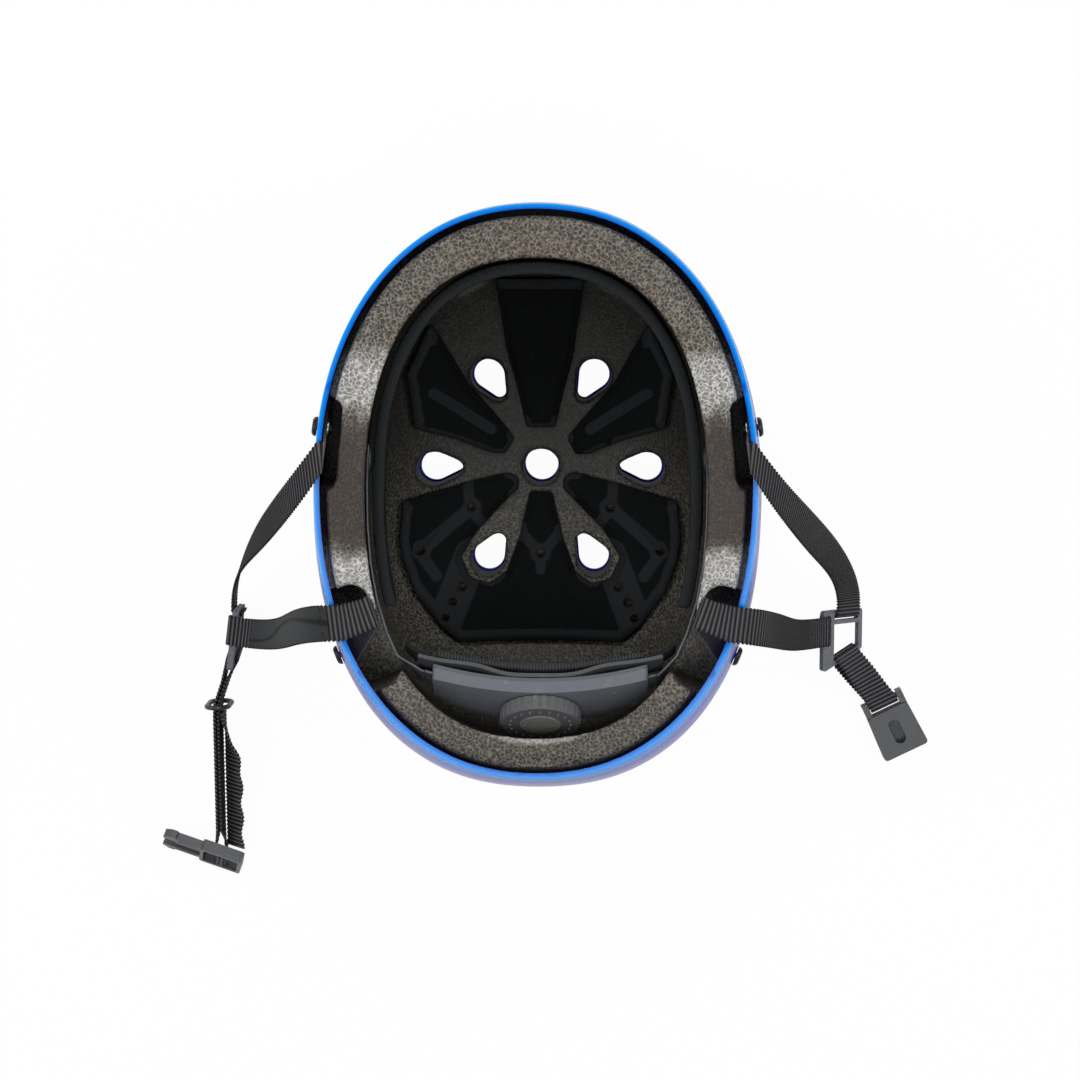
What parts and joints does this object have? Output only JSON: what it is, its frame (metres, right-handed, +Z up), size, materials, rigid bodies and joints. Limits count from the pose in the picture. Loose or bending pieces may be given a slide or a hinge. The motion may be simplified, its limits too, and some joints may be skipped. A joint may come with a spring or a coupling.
{
  "type": "skateboard helmet",
  "caption": "Round skate helmet shown upside down on its crown: hard shell, foam liner with teardrop vents, fit pads, dial fit system and a hanging buckle harness.",
  "frame": {"origin": "centre of the round crown vent, in the plane of the floor the crown stands on", "axes": "+Z up along the crown vent towards the head opening, +Y towards the brow, +X to the right of the picture"},
  "size_m": [0.4281, 0.3738, 0.1585],
  "materials": {
    "shell_blue": "high gloss solid blue injection-moulded shell",
    "foam_grey": "expanded bead foam, grey, slightly glossy beads",
    "black_fabric": "black brushed knit over soft foam",
    "webbing_black": "black ribbed polyester webbing",
    "sleeve_black": "soft black knit sleeve with a padded core",
    "felt_black": "thin black felt",
    "hook_black": "hook fastener discs",
    "plastic_black": "fine-textured black nylon",
    "plastic_gloss_black": "polished black nylon",
    "plastic_grey": "dark grey fine-textured plastic",
    "band_grey": "thin flexible grey strip",
    "rivet_black": "black painted steel",
    "steel": "small steel screw or washer"
  },
  "bodies": {
    "helmet": {"outer_shell": "shell_blue", "eps_liner": "foam_grey", "strap_rivets": "rivet_black", "strap_washers": "steel", "left_front_strap_root": "webbing_black", "left_rear_strap_root": "webbing_black", "right_front_strap_root": "webbing_black", "right_rear_strap_root": "webbing_black", "pad_front_centre": "black_fabric", "pad_front_left": "black_fabric", "pad_front_right": "black_fabric", "pad_rear": "black_fabric", "hook_fasteners": "hook_black", "sweatband": "black_fabric", "left_band_anchor": "plastic_black", "right_band_anchor": "plastic_black", "left_band": "band_grey", "right_band": "band_grey"},
    "cradle": {"housing_base": "plastic_black", "housing_cover": "plastic_grey", "housing_screws": "steel", "ratchet_ring": "plastic_black", "cradle_frame": "plastic_black", "cradle_pad": "black_fabric", "left_wing_pad": "felt_black", "right_wing_pad": "felt_black"},
    "dial": {"dial_knob": "plastic_black", "dial_cap": "plastic_gloss_black", "dial_screw": "steel", "pinion": "plastic_black"},
    "left_rack": {"left_rack": "band_grey"},
    "right_rack": {"right_rack": "band_grey"},
    "left_harness": {"left_front_strap": "webbing_black", "left_rear_strap": "webbing_black", "left_rear_sleeve": "sleeve_black", "left_divider": "plastic_grey"},
    "right_harness": {"right_front_strap": "webbing_black", "right_rear_strap": "webbing_black", "right_divider": "plastic_grey"},
    "left_chin": {"left_chin_strap": "webbing_black"},
    "keeper": {"keeper_ring": "plastic_gloss_black"},
    "male_buckle": {"male_buckle": "plastic_black"},
    "right_chin": {"right_chin_strap": "webbing_black"},
    "female_buckle": {"female_buckle": "plastic_black"}
  },
  "joints": [
    {"name": "fit_adjust", "type": "slide", "parent": "helmet", "child": "cradle", "axis": [0, 1, 0], "range_m": [0, 0.008], "deforming": ["left_band", "right_band"]},
    {"name": "dial_turn", "type": "hinge", "parent": "cradle", "child": "dial", "pos_m": [0.0018, -0.1115, 0.1273], "axis": [0, 0.8191, -0.5736], "range_deg": [0, 91.67]},
    {"name": "left_rack_feed", "type": "hinge", "parent": "cradle", "child": "left_rack", "pos_m": [0.0018, 0.04414, 0.01832], "axis": [0, 0.5736, 0.8191], "range_deg": [0, 2.41]},
    {"name": "right_rack_feed", "type": "hinge", "parent": "cradle", "child": "right_rack", "pos_m": [0.0018, 0.04414, 0.01832], "axis": [0, 0.5736, 0.8191], "range_deg": [-2.41, 0]},
    {"name": "left_harness_swing", "type": "hinge", "parent": "helmet", "child": "left_harness", "pos_m": [-0.10639, 0.016, 0.1576], "axis": [-0.1156, 0.9933, 0], "range_deg": [0, 100]},
    {"name": "right_harness_swing", "type": "hinge", "parent": "helmet", "child": "right_harness", "pos_m": [0.10639, 0.016, 0.1576], "axis": [-0.1156, -0.9933, 0], "range_deg": [0, 100]},
    {"name": "left_chin_swing", "type": "hinge", "parent": "left_harness", "child": "left_chin", "pos_m": [-0.17059, -0.10486, 0.0116], "axis": [0.0475, 0.3867, -0.921], "range_deg": [-20, 20]},
    {"name": "keeper_slide", "type": "slide", "parent": "left_chin", "child": "keeper", "axis": [0.0069, -0.9998, -0.0171], "range_m": [0, 0.015]},
    {"name": "male_buckle_turn", "type": "hinge", "parent": "left_chin", "child": "male_buckle", "pos_m": [-0.1797, -0.2211, 0.01091], "axis": [0.1787, 0.5062, 0.8437], "range_deg": [-10, 10]},
    {"name": "right_chin_swing", "type": "hinge", "parent": "right_harness", "child": "right_chin", "pos_m": [0.16763, -0.10592, 0.00811], "axis": [-0.7544, -0.3896, 0.5282], "range_deg": [0, 60]},
    {"name": "female_buckle_turn", "type": "hinge", "parent": "right_chin", "child": "female_buckle", "pos_m": [0.1895, -0.1322, 0.0048], "axis": [-0.898, -0.44, 0], "range_deg": [0, 50]}
  ],
  "couplings": [
    {"joint": "dial_turn", "follows": "fit_adjust", "rad_per_m": 200},
    {"joint": "left_rack_feed", "follows": "fit_adjust", "rad_per_m": 5.2632},
    {"joint": "right_rack_feed", "follows": "fit_adjust", "rad_per_m": -5.2632}
  ]
}
